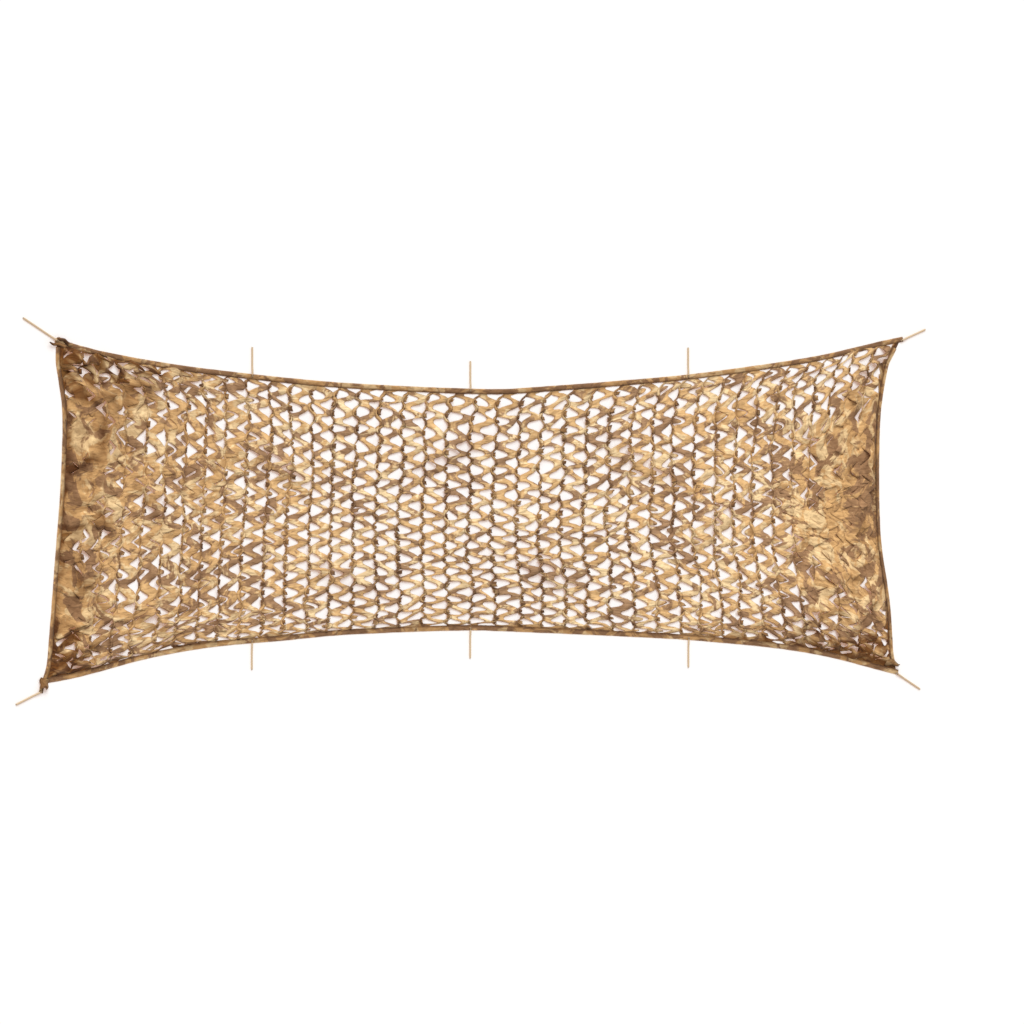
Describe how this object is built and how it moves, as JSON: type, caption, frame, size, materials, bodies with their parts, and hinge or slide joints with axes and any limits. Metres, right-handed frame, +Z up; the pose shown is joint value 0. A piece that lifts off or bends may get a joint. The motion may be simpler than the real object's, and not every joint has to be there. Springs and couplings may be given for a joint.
{
  "type": "camouflage netting",
  "caption": "Leaf-cut camouflage netting in desert colours, with bound edges and cord ties, laid out on the ground with its corners drawn outwards.",
  "frame": {"origin": "on the ground, under the middle of the net's box, measured without the ties", "axes": "+X along the net, to the right in the view from above; +Y across the net, to its upper edge; +Z up from the ground"},
  "size_m": [8.9026, 3.262, 0.0856],
  "materials": {
    "net_cloth": "printed woven polyester, matt with a faint coated sheen",
    "binding_cloth": "the same printed cloth, folded and sewn",
    "tie_cord": "braided cord, matt, with heat-sealed ends"
  },
  "bodies": {
    "root": {"net_cloth": "net_cloth", "binding_top": "binding_cloth", "binding_bottom": "binding_cloth", "binding_left": "binding_cloth", "binding_right": "binding_cloth", "tie_corner_top_left": "tie_cord", "tie_corner_top_right": "tie_cord", "tie_corner_bottom_left": "tie_cord", "tie_corner_bottom_right": "tie_cord", "tie_top_left": "tie_cord", "tie_top_middle": "tie_cord", "tie_top_right": "tie_cord", "tie_bottom_left": "tie_cord", "tie_bottom_middle": "tie_cord", "tie_bottom_right": "tie_cord"}
  },
  "joints": []
}
